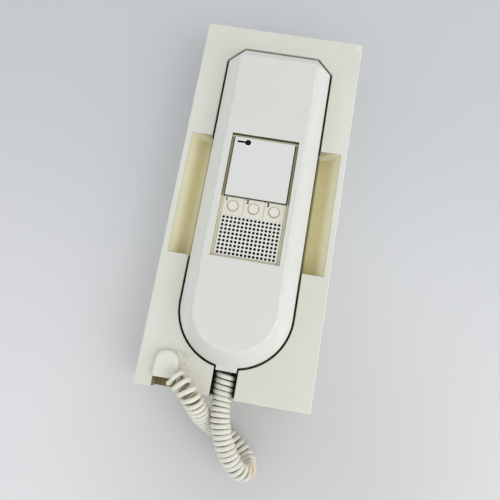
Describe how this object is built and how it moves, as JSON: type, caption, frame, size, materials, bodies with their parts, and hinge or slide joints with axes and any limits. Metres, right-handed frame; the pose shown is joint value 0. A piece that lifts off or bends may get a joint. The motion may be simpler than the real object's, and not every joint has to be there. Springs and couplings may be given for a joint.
{
  "type": "audio intercom handset",
  "caption": "Wall intercom station: a base with a recess and finger pockets, a lift-off handset with a key button, small round buttons and a speaker grille, and a curly cord.",
  "frame": {"origin": "middle of the back face that lies against the wall", "axes": "+X to the right seen from the front, +Y along the handset to its earpiece end, +Z out of the wall"},
  "size_m": [0.1, 0.2734, 0.0439],
  "materials": {
    "base_plastic": "satin",
    "plate_plastic": "matte",
    "handset_plastic": "satin",
    "panel_plastic": "satin",
    "key_plastic": "satin",
    "button_plastic": "satin",
    "grille_plastic": "satin",
    "cord_plastic": "satin",
    "plug_plastic": "gloss",
    "steel": "brushed",
    "dark_rubber": "matte",
    "light_rubber": "matte",
    "board": "satin",
    "chip": "matte",
    "capacitor": "gloss",
    "terminal": "satin",
    "cone": "matte",
    "magnet": "matte"
  },
  "bodies": {
    "base": {"base_cover": "base_plastic", "back_plate": "plate_plastic", "cover_screw": "steel", "base_board": "board", "base_board_screws": "steel", "base_chips": "chip", "base_capacitors": "capacitor", "terminal_block": "terminal", "terminal_screws": "steel", "cord_socket": "chip", "hook_dome": "light_rubber", "cord_plug": "plug_plastic", "curly_cord": "cord_plastic"},
    "handset": {"handset_front_shell": "handset_plastic", "handset_rear_shell": "handset_plastic", "handset_screws": "steel", "panel_bezel": "panel_plastic", "key_hinge_pin": "steel", "key_dome": "light_rubber", "button_domes": "light_rubber", "grille_plate": "grille_plastic", "speaker_gasket": "dark_rubber", "speaker_frame": "steel", "speaker_cone": "cone", "speaker_magnet": "magnet", "handset_board": "board", "board_screws": "steel", "handset_chips": "chip", "earpiece_gasket": "dark_rubber", "earpiece_capsule": "magnet", "microphone_boot": "dark_rubber", "microphone_capsule": "steel", "cord_boot": "dark_rubber"},
    "hook": {"hook_plunger": "handset_plastic"},
    "key": {"key_button": "key_plastic"},
    "button_1": {"button_1": "button_plastic"},
    "button_2": {"button_2": "button_plastic"},
    "button_3": {"button_3": "button_plastic"}
  },
  "joints": [
    {"name": "handset_lift", "type": "slide", "parent": "base", "child": "handset", "axis": [0, 0, 1], "range_m": [0, 0.06], "deforming": ["curly_cord"]},
    {"name": "hook_rise", "type": "slide", "parent": "base", "child": "hook", "axis": [0, 0, 1], "range_m": [0, 0.003], "deforming": ["hook_dome"]},
    {"name": "key_press", "type": "hinge", "parent": "handset", "child": "key", "pos_m": [0, 0.0318, 0.0378], "axis": [1, 0, 0], "range_deg": [0, 2.5], "stiffness_Nm_per_rad": 0.15, "springref_deg": -1.72, "deforming": ["key_dome"]},
    {"name": "button_1_press", "type": "slide", "parent": "handset", "child": "button_1", "axis": [0, 0, -1], "range_m": [0, 0.0008], "stiffness_N_per_m": 200, "springref_m": -0.0004, "deforming": ["button_domes"]},
    {"name": "button_2_press", "type": "slide", "parent": "handset", "child": "button_2", "axis": [0, 0, -1], "range_m": [0, 0.0008], "stiffness_N_per_m": 200, "springref_m": -0.0004, "deforming": ["button_domes"]},
    {"name": "button_3_press", "type": "slide", "parent": "handset", "child": "button_3", "axis": [0, 0, -1], "range_m": [0, 0.0008], "stiffness_N_per_m": 200, "springref_m": -0.0004, "deforming": ["button_domes"]}
  ],
  "couplings": [
    {"joint": "hook_rise", "follows": "handset_lift", "ratio": 0.05}
  ]
}
